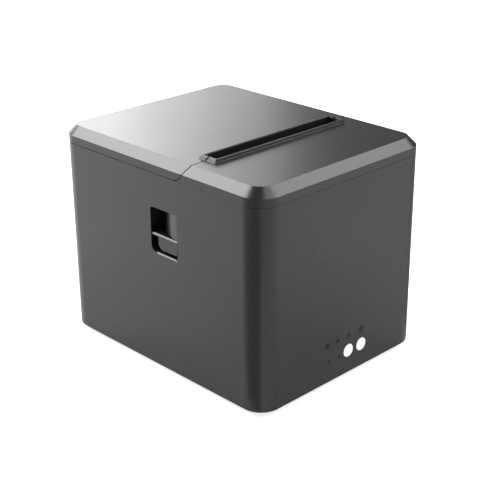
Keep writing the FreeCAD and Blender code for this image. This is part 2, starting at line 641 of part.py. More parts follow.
def toward(distance, start_y, start_z, degrees):
    """The (y, z) expressions of a point at a distance and an angle from +Y towards +Z."""
    return (f"({start_y} + ({distance}) * cos({degrees}))", f"({start_z} + ({distance}) * sin({degrees}))")


# The idler lies straight back along the path on which the platen lifts out.
IDLER_ANGLE = "(head_tilt - 90)"
IDLER = toward("gear_module * (platen_teeth + idler_teeth) / 2", PLATEN_Y, PLATEN_Z, IDLER_ANGLE)
MOTOR_ANGLE = "(180 + motor_bearing)"
MOTOR = toward("gear_module * (wheel_teeth + pinion_teeth) / 2", *IDLER, MOTOR_ANGLE)


def side_plate(side):
    """One of the two steel plates that carry the platen's bushes, the lock shaft and the gears."""
    name = "left" if side < 0 else "right"
    span = sorted((f"{side} * plate_inner", f"{side} * plate_outer"), key=value)
    blank = prism(f"plate_{name}_blank", "YZ", [
        ("plate_front", "plate_foot"), ("plate_rear", "plate_foot"), ("plate_rear", "plate_top - 8"),
        ("plate_rear - 5", "plate_top"), ("plate_front", "plate_top"),
    ], *span, [(0, "2.0"), (1, "2.0")])
    foot_x = sorted((f"{side} * plate_inner", f"{side} * (plate_outer + 8)"), key=value)
    foot = box(f"plate_{name}_foot", foot_x, ("plate_front + 2", "plate_rear - 2"),
               ("plate_foot", "plate_foot + 1.5"))
    reach = low_high(SIDE)
    seat = across(f"bush_seat_{name}", "bush_radius + slot_seat_gap", (PLATEN_Y, PLATEN_Z), reach)
    half = "(bush_radius + slot_gap)"
    way_out = tilted(box_body(f"bush_slot_{name}", reach, (f"-{half}", half), ("0", "20")))
    lock_hole = across(f"lock_hole_{name}", "lock_shaft_radius + running_gap", (LOCK_Y, LOCK_Z), reach)
    cuts = [seat, way_out, lock_hole]
    for at, (x, y) in enumerate(MECH_POSTS):
        if x * side > 0:
            below = (x, y, "plate_foot - 1")
            cuts.append(rod(f"plate_foot_hole_{name}_{at}", "screw_radius", "z", below, 4))
    window = rectangle(("plate_front + 8", "plate_rear - 8"), ("24", "62"))
    rounds = [(corner, "5.0") for corner in range(4)]
    cuts.append(prism(f"plate_window_{name}", "YZ", window, *reach, rounds))
    if side > 0:
        cuts.append(across("pinion_hole", "6.0", MOTOR, reach))
    joined = fuse(f"plate_{name}_joined", blank, foot)
    return node(f"mech_side_{name}", cut(f"plate_{name}_finished", joined, *cuts))


def box_body(name, x, u, v):
    """A block as a body, from its low and high value along X, Y and Z."""
    return prism(name, "YZ", rectangle(u, v), x[0], x[1])


def print_mechanism():
    for side in (-1, 1):
        side_plate(side)
    reach = "(platen_radius + head_gap)"
    ceramic_back = f"({reach} + ceramic)"
    sink_back = f"({ceramic_back} + sink)"
    strip_y = (f"-{ceramic_back}", f"-{reach}")
    node("print_head", tilted(box_body("ceramic_strip", low_high("head_half - 1"), strip_y, ("-9", "5"))))
    fin_y = (f"-{sink_back}", f"-{ceramic_back} - 2")
    block_y = (f"-{ceramic_back} - 3", f"-{ceramic_back}")
    block = box("sink_block", low_high("head_half"), block_y, ("-9", "6"))
    fins = [box(f"sink_fin_{n}", low_high("head_half"), fin_y, (low, low + 1.5))
            for n, low in enumerate((-9, -5.2, 2.2))]
    seat = box("spring_seat", low_high("head_half - 4"), fin_y, (-4.2, 1.5))
    node("head_heat_sink", tilted(fuse("sink_with_fins", block, *fins, seat)))
    cross = box_body("cross_blank", low_high("plate_inner"), ("-cross_from - cross_thick", "-cross_from"),
                     low_high("cross_half_height"))
    node("mech_cross_plate", tilted(cross))
    coils = []
    wire, turns = value("spring_wire"), int(value("spring_turns"))
    length = value(f"cross_from - {sink_back}")
    for n, x in enumerate((-28, 0, 28)):
        coil = coil_shape(value("spring_radius"), wire, length, turns)
        coil.rotate(FreeCAD.Vector(), FreeCAD.Vector(1, 0, 0), 90)  # from +Z to -Y
        coil.translate(FreeCAD.Vector(x, -value(sink_back), -1.3))
        coils.append(coil)
    node("head_springs", tilted(shaped("head_spring_set", Part.makeCompound(coils))))
    post = across("idler_shank", "post_radius", IDLER, ("plate_outer", "wheel_outer + 1.4"))
    flange = across("idler_flange", "post_radius + 2", IDLER, ("plate_outer", "plate_outer + 0.8"))
    clip = across("idler_clip", "post_radius + 1.2", IDLER, ("wheel_outer + 0.3", "wheel_outer + 1.1"))
    node("idler_post", fuse("idler_post_joined", post, flange, clip))
    node("mech_screws", group("mech_screw_set", [screw(f"mech_screw_{n}", x, y, "plate_foot + 1.5", 8.5, -1)
                                                 for n, (x, y) in enumerate(MECH_POSTS)]))


def feed_motor():
    can = across("feed_motor_can", "motor_radius", MOTOR, ("plate_inner - motor_length", "plate_inner - 1"))
    ear = box("feed_motor_ear", ("plate_inner - 1", "plate_inner"),
              (f"{MOTOR[0]} - 3.5", f"{MOTOR[0]} + 3.5"),
              (f"{MOTOR[1]} - motor_radius - 5", f"{MOTOR[1]} + motor_radius"))
    hole = across("feed_motor_bore", "1.3", MOTOR, ("plate_inner - 12", "plate_inner + 1"))
    node("feed_motor", cut("feed_motor_finished", fuse("feed_motor_joined", can, ear), hole))


def cutter():
    """The upper part of the cutter: its guide plates and its motor. The blade slides between them."""
    base_top = "(blade_level - blade_gap)"
    base_z = (f"{base_top} - cutter_sheet", base_top)
    plate = box("cutter_plate", low_high("cutter_half"), ("cutter_front", "cutter_rear"), base_z)
    rails = [box(f"cutter_rail_{side + 1}",
                 sorted((f"{side} * (blade_half + 0.4)", f"{side} * cutter_half"), key=value),
                 ("cutter_front", "cutter_rear"), (base_z[0], f"{base_top} + 2")) for side in (-1, 1)]
    shaft_hole = rod("cutter_shaft_hole", 2, "z", ("cutter_x", "cutter_y", f"{base_z[0]} - 1"), 4)
    node("cutter_base", cut("cutter_base_finished", fuse("cutter_base_joined", plate, *rails), shaft_hole))
    hood_z = (f"{base_top} + 2", "cutter_top")
    hood = box("cutter_hood_outside", low_high("cutter_half"), ("cutter_front", "cutter_rear - 4"), hood_z)
    hood_in = box("cutter_hood_inside", low_high("cutter_half - 1.2"), ("cutter_front + 1.2", "cutter_rear"),
                  (f"{base_top} + 1", "cutter_top - 1.2"))
    node("cutter_cover", cut("cutter_hood", hood, hood_in))
    can = rod("cutter_motor_can", "cutter_motor_radius", "z",
              ("cutter_x", "cutter_y", f"{base_z[0]} - cutter_motor_length"), "cutter_motor_length")
    bore = rod("cutter_motor_bore", 1.3, "z", ("cutter_x", "cutter_y", f"{base_z[0]} - 8"), 9)
    node("cutter_motor", cut("cutter_motor_finished", can, bore))


# ---------------------------------------------------------------------------------------------
# Lid and what it carries
# ---------------------------------------------------------------------------------------------
LID_SCREWS = [(-56, -2), (56, -2), (-56, 68), (56, 68)]


def lid_cover():
    zone = lid_zone("lid_zone_shrunk", "(-lid_lift)")
    inner_edge = f"({SEAM_FOOT} + flange)"
    hollow_zone = prism("lid_hollow_zone", "YZ", [
        (inner_edge, f"{SEAM} - {BEYOND}"), (f"{REAR} + {BEYOND}", f"{SEAM} - {BEYOND}"),
        (f"{REAR} + {BEYOND}", f"{TOP} + {BEYOND}"),
        (f"{inner_edge} - ({TOP} + {BEYOND} - {SEAM}) / tan(seam_slope)", f"{TOP} + {BEYOND}"),
        (inner_edge, SEAM),
    ], f"-{SIDE} - {BEYOND}", f"{SIDE} + {BEYOND}")
    shell = cut("lid_shell", common("lid_block", OUTER, zone), common("lid_hollow", INNER, hollow_zone))
    barrel = cut("hinge_tube", across("hinge_barrel", "barrel_radius", HINGE, low_high("barrel_half")),
                 across("hinge_barrel_bore", "barrel_bore", HINGE, low_high("barrel_half + 1")))
    knuckles, cuts = [], []
    for side in (-1, 1):
        for way in (-1, 1):
            near = f"({side} * knuckle_at + {way} * (knuckle_width / 2 + knuckle_gap))"
            span = sorted((near, f"{near} + {way} * lid_knuckle"), key=value)
            knuckles.append(across(f"lid_knuckle_{side + 1}{way + 1}", "barrel_radius", HINGE, span))
        span = knuckle_span(side, "knuckle_gap")
        cuts.append(across(f"lid_notch_{side + 1}", "knuckle_radius + knuckle_gap", HINGE, span))
        notch_y = (f"{HINGE_Y} - knuckle_radius - 0.6", f"{REAR} + 2")
        cuts.append(box(f"lid_notch_low_{side + 1}", span, notch_y, (f"{SEAM} - 7", f"{SEAM} + 0.8")))
        pin_x = (f"{side} * knuckle_at - pin_length / 2 - 0.5",
                 f"{side} * knuckle_at + pin_length / 2 + 0.5")
        cuts.append(across(f"lid_pin_bore_{side + 1}", "pin_radius + running_gap", HINGE, pin_x))
    barrels = common("lid_barrels", OUTER, fuse("lid_barrel_set", barrel, *knuckles))
    bosses = [rod(f"lid_boss_{n}", 3.5, "z", (x, y, LINER_TOP), f"{TOP} - 1 - {LINER_TOP}")
              for n, (x, y) in enumerate(LID_SCREWS)]
    cuts += [rod(f"lid_boss_bore_{n}", "screw_radius", "z", (x, y, f"{LINER_TOP} - 1"), 6)
             for n, (x, y) in enumerate(LID_SCREWS)]
    ribs = [box(f"lid_rib_{n}", low_high("liner_half"), (y, y + 1.5), (LINER_TOP, f"{TOP} - 1"))
            for n, y in enumerate((12, 34, 56))]
    cuts.append(box("lid_slot", low_high("slot_half"), (SLOT_FRONT, SLOT_REAR), (0, f"{TOP} + {BEYOND}")))
    cuts.append(box("liner_room", low_high("slot_half"), (SLOT_FRONT, f"{SEAM_FOOT} + flange + 2"),
                    (0, f"{TOP} - wall")))
    return node("lid_cover", cut("lid_finished", fuse("lid_blank", shell, barrels, *bosses, *ribs), *cuts))


LINER_LOW = f"({SEAM} + join_gap)"
LINER_TOP = f"({LINER_LOW} + liner_sheet)"


def lid_liner():
    """The moulded inside of the lid: a plate, a wall down the rear of the slot and paper ribs."""
    plate = box("liner_plate", low_high("liner_half"), ("-14", "liner_rear"), (LINER_LOW, LINER_TOP))
    nose = box("liner_nose", low_high("slot_half - 0.5"), ("liner_front", "-12"), (LINER_LOW, LINER_TOP))
    wall = box("liner_slot_wall", low_high("slot_half - 0.5"), (SLOT_REAR, "liner_front"),
               ("liner_wall_foot", f"{TOP} - wall - 0.6"))
    ribs = []
    for n, x in enumerate((-36, -12, 12, 36)):
        ribs.append(prism(f"liner_rib_{n}", "YZ", [
            ("2", f"{LINER_LOW} + 1"), ("70", f"{LINER_LOW} + 1"), ("62", "deck_top + 3"),
            ("36", "deck_top + 1"), ("10", "deck_top + 3"),
        ], f"{x} - 0.8", f"{x} + 0.8"))
    cuts = [rod(f"liner_hole_{n}", "screw_radius", "z", (x, y, f"{LINER_LOW} - 1"), 5)
            for n, (x, y) in enumerate(LID_SCREWS)]
    return node("lid_liner", cut("liner_finished", fuse("liner_blank", plate, nose, wall, *ribs), *cuts))


def lid_fittings():
    node("lid_screws", group("lid_screw_set", [screw(f"lid_screw_{n}", x, y, LINER_LOW, 6.5, 1)
                                               for n, (x, y) in enumerate(LID_SCREWS)]))
    blade_low = "(blade_level - blade_gap - fixed_blade_thick + 0.05)"
    bracket_top = LINER_LOW
    plate_z = (f"{bracket_top} - bracket_sheet", bracket_top)
    plate = box("bracket_plate", low_high("ear_outer"), ("liner_front + 0.1", "-3"), plate_z)
    seat = box("blade_seat", low_high("platen_half"), ("blade_seat_front", "fixed_blade_rear"),
               (f"{blade_low} + fixed_blade_thick", plate_z[1]))
    ears = []
    for side in (-1, 1):
        span = sorted((f"{side} * ear_inner", f"{side} * ear_outer"), key=value)
        ears.append(prism(f"bracket_ear_{side + 1}", "YZ", [
            (f"{PLATEN_Y} - 6", f"{PLATEN_Z} - 3"), (f"{PLATEN_Y} - 3", f"{PLATEN_Z} - 6.2"),
            (f"{PLATEN_Y} + 3", f"{PLATEN_Z} - 6.2"), (f"{PLATEN_Y} + 6", f"{PLATEN_Z} - 3"),
            ("-8", plate_z[1]), ("liner_front + 0.1", plate_z[1]), ("liner_front + 0.1", f"{PLATEN_Z} + 8"),
            (f"{PLATEN_Y} - 6", f"{PLATEN_Z} + 2"),
        ], *span))
    hole = across("bracket_bore", "bush_radius", (PLATEN_Y, PLATEN_Z), low_high(SIDE))
    node("platen_bracket", cut("bracket_finished", fuse("bracket_joined", plate, seat, *ears), hole))
    blade = box("fixed_blade_blank", low_high("platen_half + 0.5"), ("fixed_blade_edge", "fixed_blade_rear"),
                (blade_low, f"{blade_low} + fixed_blade_thick"))
    node("fixed_blade", blade)
    bushes = []
    for side in (-1, 1):
        span = sorted((f"{side} * bush_inner", f"{side} * bush_outer"), key=value)
        axis = (PLATEN_Y, PLATEN_Z)
        body = across(f"bush_body_{side + 1}", "bush_radius", axis, span)
        hole = across(f"bush_bore_{side + 1}", "shaft_radius + running_gap", axis, low_high(SIDE))
        bushes.append(cut(f"bush_{side + 1}", body, hole))
    node("platen_bushes", group("bush_pair", bushes))


def platen():
    axis = (PLATEN_Y, PLATEN_Z)
    node("platen_shaft", across("platen_steel", "shaft_radius", axis, ("-bush_outer - 0.6", "shaft_end")))
    sleeve = across("platen_sleeve", "platen_radius", axis, low_high("platen_half"))
    bore = across("platen_sleeve_bore", "shaft_radius", axis, low_high("platen_half + 1"))
    node("platen_rubber", cut("platen_roller", sleeve, bore))


# ---------------------------------------------------------------------------------------------
# Gears and the sliding blade
# ---------------------------------------------------------------------------------------------
def spur_gear(name, teeth, radius, yz, span, turn):
    """A gear along X. The shape's own length and bore are read from the sheet."""
    length = value(f"({span[1]}) - ({span[0]})")
    return shaped(name, gear_shape(teeth, length, radius, turn), TURN["x"], (span[0], *yz))


def gears():
    small = ("gear_inner", "gear_outer")
    large = ("wheel_inner", "wheel_outer")
    half_turn = math.pi
    down = math.radians(value(IDLER_ANGLE))
    to_motor = math.radians(value(MOTOR_ANGLE))
    teeth = {key: int(value(key)) for key in ("platen_teeth", "idler_teeth", "wheel_teeth", "pinion_teeth")}
    node("platen_gear", spur_gear("platen_spur", teeth["platen_teeth"], value("shaft_radius"),
                                  (PLATEN_Y, PLATEN_Z), small, down))
    bore = "post_radius + running_gap"
    idler_small = spur_gear("idler_small", teeth["idler_teeth"], value(bore), IDLER, small,
                            down + half_turn + math.pi / teeth["idler_teeth"])
    idler_large = spur_gear("idler_large", teeth["wheel_teeth"], value(bore), IDLER, large, to_motor)
    neck_x = ("gear_outer - 0.5", "wheel_inner + 0.5")
    neck = cut("idler_neck", across("idler_neck_outside", "post_radius + 2", IDLER, neck_x),
               across("idler_neck_bore", bore, IDLER, ("gear_inner", "wheel_outer")))
    node("idler_gear", fuse("idler_joined", idler_small, idler_large, neck))
    pinion = spur_gear("motor_spur", teeth["pinion_teeth"], 1.2, MOTOR, large,
                       to_motor + half_turn + math.pi / teeth["pinion_teeth"])
    shaft = across("motor_shaft", "1.25", MOTOR, ("plate_inner - 10", "wheel_outer + 1"))
    node("feed_pinion", fuse("feed_pinion_joined", pinion, shaft))


def moving_blade():
    edge, vee = "blade_edge", "blade_edge - blade_vee"
    plate = prism("blade_blank", "XY", [
        ("-blade_half", "blade_front"), ("blade_half", "blade_front"), ("blade_half", edge), ("0", vee),
        ("-blade_half", edge),
    ], "blade_level", "blade_level + blade_thick")
    slot = box("blade_slot", ("cutter_x - 2.2", "cutter_x + 2.2"),
               ("cutter_y - blade_stroke - 2.5", "cutter_y + 2.5"), ("blade_level - 1", "blade_level + 2"))
    node("moving_blade", cut("blade_finished", plate, slot))

    # A straight rack, whose teeth point to -X and mesh with the cutter's pinion.
    module = value("gear_module")
    pitch = math.pi * module
    pinion_pitch = module * value("cutter_teeth") / 2
    line = value("cutter_x") + pinion_pitch
    back = line + value("rack_width")
    slope = math.tan(math.radians(20))
    half = pitch / 4 - value("backlash") / 2
    first, last = -7, 3  # teeth before and after the pinion's middle
    outline = [FreeCAD.Vector(back, value("cutter_y") + (first - 0.5) * pitch, 0)]
    for tooth in range(first, last + 1):
        middle = value("cutter_y") + tooth * pitch
        for depth, sign in ((1.25, -1), (-1, -1), (-1, 1), (1.25, 1)):
            reach = half + slope * depth * module
            outline.append(FreeCAD.Vector(line + depth * module, middle + sign * reach, 0))
    outline.append(FreeCAD.Vector(back, value("cutter_y") + (last + 0.5) * pitch, 0))
    rise = value("rack_top - blade_level - blade_thick")
    rack = Part.Face(Part.makePolygon(outline + outline[:1])).extrude(FreeCAD.Vector(0, 0, rise))
    node("blade_rack", shaped("rack_bar", rack, None, (0, 0, "blade_level + blade_thick")))

    teeth = int(value("cutter_teeth"))
    wheel = gear_shape(teeth, rise - 0.4, 1.2, math.pi / teeth)
    spur = shaped("cutter_spur", wheel, None, ("cutter_x", "cutter_y", "blade_level + blade_thick + 0.3"))
    shaft = rod("cutter_shaft", 1.25, "z", ("cutter_x", "cutter_y", "blade_level - 8"),
                "rack_top - blade_level + 8.2")
    node("cutter_pinion", fuse("cutter_pinion_joined", spur, shaft))


# ---------------------------------------------------------------------------------------------
# Lock: a shaft across the mechanism, a hook at each end and the lever in the finger pocket
# ---------------------------------------------------------------------------------------------
def lock_arm(side):
    name = "left" if side < 0 else "right"
    span = sorted((f"{side} * arm_inner", f"{side} * (arm_inner + arm_thick)"), key=value)
    nose = f"({PLATEN_Y} + bush_radius + arm_gap)"
    arm = prism(f"arm_{name}_blank", "YZ", [
        (f"{LOCK_Y} - 4", LOCK_Z), (f"{LOCK_Y} + 5", f"{LOCK_Z} - 1"),
        ("-9.6", "lock_height + 15"), ("-10.4", "platen_height + 9"),
        (f"{nose} + 1.5", "platen_height + 9.5"), (nose, "platen_height + 6.5"),
        (nose, "platen_height + 4"), (f"{nose} + 3", "platen_height + 3"),
        ("-14.4", "platen_height - 4"), ("-14.2", "lock_height + 14"),
    ], *span)
    hub = across(f"arm_{name}_hub", "lock_hub_radius", (LOCK_Y, LOCK_Z), span)
    hole = across(f"arm_{name}_bore", "lock_shaft_radius", (LOCK_Y, LOCK_Z), low_high(SIDE))
    return node(f"lock_arm_{name}", cut(f"arm_{name}_finished", fuse(f"arm_{name}_joined", arm, hub), hole))


def release_lever():
    """The lever in the finger pocket: a face flush with the side, and a brim that reaches to the rear."""
    front = f"({POCKET_FRONT} + lever_front_gap)"
    foot = f"({POCKET_FRONT} + lever_gap)"
    rear = f"({POCKET_REAR} - lever_gap)"
    heel = f"({rear} - lever_heel)"
    under_brim = "(lever_top - lever_brim)"
    face = f"-{SIDE} + lever_set_in"
    inner = f"-{SIDE} + lever_reach"
    tile = prism("lever_tile", "YZ", [
        (front, "lever_top"), (front, LOCK_Z), (foot, "lever_bottom"), (heel, "lever_bottom"),
        (heel, under_brim), (rear, under_brim), (rear, "lever_top"),
    ], face, inner, [(3, "lever_round")])

    def on_face(edge):
        return all(abs(vertex.X - value(face)) < 1e-4 for vertex in edge.Vertexes)

    at_top, at_bottom = at_level("lever_top"), at_level("lever_bottom")
    soften(tile, "Chamfer", "lever_soft", lambda edge: on_face(edge) and at_top(edge))
    soften(tile, "Fillet", "lever_soft", lambda edge: on_face(edge) and at_bottom(edge))
    hollow = box("lever_hollow", (f"-{SIDE} + wall", f"{inner} + 1"), (f"{front} + 9", f"{heel} - 2"),
                 ("lever_bottom - 1", "lever_top - 2"))
    hub = across("lever_hub", "lock_hub_radius", (LOCK_Y, LOCK_Z), (f"-{SIDE} + wall + 1", inner))
    bore = across("lever_bore", "lock_shaft_radius", (LOCK_Y, LOCK_Z), (f"-{SIDE} + wall + 2", SIDE))
    blank = fuse("lever_joined", cut("lever_shell", tile, hollow), hub)
    node("release_lever", cut("lever_finished", blank, bore))


def lock():
    node("lock_shaft", across("lock_rod", "lock_shaft_radius", (LOCK_Y, LOCK_Z),
                              (f"-{SIDE} + wall + 2", "arm_inner + arm_thick + 0.5")))
    for side in (-1, 1):
        lock_arm(side)
    release_lever()
    coil = coil_shape(value("lock_shaft_radius + 1.6"), 1, 7, 6)
    start = ("-arm_inner - arm_thick - 8.2", LOCK_Y, LOCK_Z)
    node("lock_spring", shaped("lock_coil", coil, TURN["x"], start))


# ---------------------------------------------------------------------------------------------
# Buttons, boards and sockets
# ---------------------------------------------------------------------------------------------
def buttons():
    for name, at in (("power_button", "power_button_at"), ("feed_button", "feed_button_at")):
        spot = (at, FRONT, "button_height")
        cap = rod(name + "_cap", "button_radius", "y", spot, "button_length - 1")
        behind = (at, f"{FRONT} + wall + 0.1", "button_height")
        flange = rod(name + "_flange", "button_flange", "y", behind, 1)
        stem = rod(name + "_stem", 1.5, "y", spot, "button_length")
        node(name, fuse(name + "_joined", cap, flange, stem))
    lenses = [rod("pipe_" + at, "lens_radius", "y", (at, FRONT, "lens_height"), "lens_length")
              for at in ("lens_left", "lens_right")]
    node("indicator_lenses", group("lens_pair", lenses))
    board_y = f"({FRONT} + button_length + button_travel + 3.4)"
    node("button_board", box("button_board_blank", (-20, 26), (board_y, f"{board_y} + board_thick"),
                             (f"{BASE_TOP} + 2", 33)))
    switches = []
    for at in ("power_button_at", "feed_button_at"):
        body = box("switch_" + at, (f"{at} - 3", f"{at} + 3"), (f"{board_y} - 2.4", board_y),
                   ("button_height - 3", "button_height + 3"))
        dome = rod("dome_" + at, 1.4, "y", (at, f"{board_y} - 3.3", "button_height"), 1.2)
        switches.append(fuse("tact_" + at, body, dome))
    node("tact_switches", group("tact_pair", switches))


def open_box(name, middle, width, height, depth, wall_thick, hollow_depth):
    """A socket's housing on the main board, open to the rear."""
    rear = "socket_rear"
    low = BOARD_TOP
    outside = box(name + "_outside", (f"{middle} - {width} / 2", f"{middle} + {width} / 2"),
                  (f"{rear} - {depth}", rear), (low, f"{low} + {height}"))
    inside = box(name + "_inside",
                 (f"{middle} - {width} / 2 + {wall_thick}", f"{middle} + {width} / 2 - {wall_thick}"),
                 (f"{rear} - {hollow_depth}", f"{rear} + 1"),
                 (f"{low} + {wall_thick}", f"{low} + {height} - {wall_thick}"))
    return cut(name + "_housing", outside, inside)


def sockets():
    middle, width, height, depth = SOCKETS["power_inlet"]
    centre_z = f"({BOARD_TOP} + {height} / 2)"
    block = box("power_block", (f"{middle} - {width} / 2", f"{middle} + {width} / 2"),
                (f"socket_rear - {depth}", "socket_rear"), (BOARD_TOP, f"{BOARD_TOP} + {height}"))
    well = rod("power_hollow", 5, "y", (middle, "socket_rear - 9", centre_z), 10)
    pins = []
    for n, (dx, dz) in enumerate(((-2.4, 0), (2.4, 0), (0, 2.4))):
        spot = (f"{middle} + {dx}", "socket_rear - 10", f"{centre_z} + {dz}")
        pins.append(rod(f"power_pin_{n}", 0.6, "y", spot, 4))
    node("power_inlet", fuse("power_joined", cut("power_housing", block, well), *pins))

    middle, width, height, depth = SOCKETS["usb_socket"]
    tongue = box("usb_tongue", (f"{middle} - 2.8", f"{middle} + 2.8"),
                 (f"socket_rear - {depth} + 2", "socket_rear - 5"),
                 (f"{BOARD_TOP} + 3.9", f"{BOARD_TOP} + 7.1"))
    housing = open_box("usb", middle, width, height, depth, 1.2, depth - 3)
    node("usb_socket", fuse("usb_joined", housing, tongue))

    middle, width, height, depth = SOCKETS["lan_socket"]
    step_y = (f"socket_rear - {depth} + 2", "socket_rear")
    step_z = (BOARD_TOP, f"{BOARD_TOP} + 4")
    steps = [box("lan_step_left", (f"{middle} - 8", f"{middle} - 3"), step_y, step_z),
             box("lan_step_right", (f"{middle} + 3", f"{middle} + 8"), step_y, step_z)]
    housing = open_box("lan", middle, width, height, depth, 1.6, depth - 3)
    node("lan_socket", fuse("lan_joined", housing, *steps))

    middle, width, height, depth = SOCKETS["drawer_socket"]
    node("drawer_socket", open_box("drawer", middle, width, height, depth, 1.6, depth - 3))


def electronics():
    board = box("main_board_blank", (-54, 44), (8, "socket_rear - 1.6 - wall"), ("board_height", BOARD_TOP))
    holes = [rod(f"board_hole_{n}", "screw_radius", "z", (x, y, "board_height - 1"), 4)
             for n, (x, y) in enumerate(BOARD_POSTS)]
    node("main_board", cut("main_board_drilled", board, *holes))
    node("board_screws", group("board_screw_set", [screw(f"board_screw_{n}", x, y, BOARD_TOP, 4.2, -1)
                                                   for n, (x, y) in enumerate(BOARD_POSTS)]))
    buzzer = cut("buzzer_body", rod("buzzer_can", 6, "z", (-36, 34, BOARD_TOP), 8.5),
                 rod("buzzer_port", 1.2, "z", (-36, 34, f"{BOARD_TOP} + 6"), 4))
    node("buzzer", buzzer)
    left = "(-well_width / 2 - well_side)"
    sensor = fuse("sensor_joined", box("sensor_block", (f"{left} - 7", left), (8, 20), (40, 52)),
                  box("sensor_board", (f"{left} - 8.4", f"{left} - 7"), (5, 23), (37, 55)))
    node("paper_sensor", sensor)

    # Flat cable from the print head, down ahead of the well and back to the main board.
    rear_face = [
        ("-35.2", "102.6"), ("-37.0", "98.0"), ("-37.0", "26.0"), ("-31.0", "17.5"),
        ("10.0", f"{BOARD_TOP} + 0.8"), ("14.0", f"{BOARD_TOP} + 0.8"),
    ]
    front_face = [
        ("14.0", f"{BOARD_TOP} + 0.8 - cable_thick"), ("10.0", f"{BOARD_TOP} + 0.8 - cable_thick"),
        ("-31.0", "17.5 - cable_thick"), ("-37.4", "25.8"), ("-37.4", "97.8"), ("-35.6", "102.4"),
    ]
    node("head_cable", prism("ribbon", "YZ", rear_face + front_face, "-32", "8"))


# ---------------------------------------------------------------------------------------------
# The whole printer
# ---------------------------------------------------------------------------------------------
case_shell()
base_plate()
rubber_feet()
base_screws()
front_cover()
cover_screws()
hinge_pins()
paper_well()
print_mechanism()
feed_motor()
cutter()
lid_cover()
lid_liner()
lid_fittings()
platen()
gears()
moving_blade()
lock()
buttons()
sockets()
electronics()
doc.recompute()

failed = [thing.Label for thing in doc.Objects if {"Invalid", "Error"} & set(thing.State)]
broken = [part.Label for part in NODES if part.Shape.isNull() or not part.Shape.isValid()]
if failed or broken:
    raise SystemExit(f"failed: {failed}; broken: {broken}")
os.makedirs("parts", exist_ok=True)
for part in NODES:
    part.Shape.exportStep(os.path.join("parts", part.Label + ".step"))
    print(f"{part.Label}: {len(part.Shape.Solids)} solid(s), {part.Shape.Volume / 1000:.2f} cm3")
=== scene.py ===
"""Receipt printer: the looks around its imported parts, with a pale studio, soft boxes and the camera."""

import math

import bmesh
import bpy
from mathutils import Matrix, Vector


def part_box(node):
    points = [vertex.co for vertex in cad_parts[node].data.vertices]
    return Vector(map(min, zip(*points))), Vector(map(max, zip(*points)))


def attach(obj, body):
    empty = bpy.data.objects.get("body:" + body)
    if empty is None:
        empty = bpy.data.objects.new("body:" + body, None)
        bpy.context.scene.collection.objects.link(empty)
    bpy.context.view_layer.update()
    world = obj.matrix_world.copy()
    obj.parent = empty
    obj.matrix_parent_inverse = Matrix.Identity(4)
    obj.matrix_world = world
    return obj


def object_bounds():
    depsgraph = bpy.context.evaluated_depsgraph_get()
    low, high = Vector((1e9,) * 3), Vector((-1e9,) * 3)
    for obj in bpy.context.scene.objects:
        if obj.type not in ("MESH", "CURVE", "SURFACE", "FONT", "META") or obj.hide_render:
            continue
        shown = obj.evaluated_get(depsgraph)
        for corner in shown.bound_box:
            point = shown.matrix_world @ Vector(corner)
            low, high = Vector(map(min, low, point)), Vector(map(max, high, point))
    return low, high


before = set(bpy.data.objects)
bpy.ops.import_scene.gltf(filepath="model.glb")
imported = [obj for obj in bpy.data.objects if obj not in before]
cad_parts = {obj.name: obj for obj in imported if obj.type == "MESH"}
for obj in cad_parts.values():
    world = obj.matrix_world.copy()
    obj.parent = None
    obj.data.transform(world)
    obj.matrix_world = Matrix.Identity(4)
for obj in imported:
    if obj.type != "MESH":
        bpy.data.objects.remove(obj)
cad_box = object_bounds()
scene = bpy.context.scene
scene.view_settings.view_transform = "Standard"
scene.cycles.use_denoising = True

MM = 0.001


# --------------------------------------------------------------------------------------------
# Painting
# --------------------------------------------------------------------------------------------


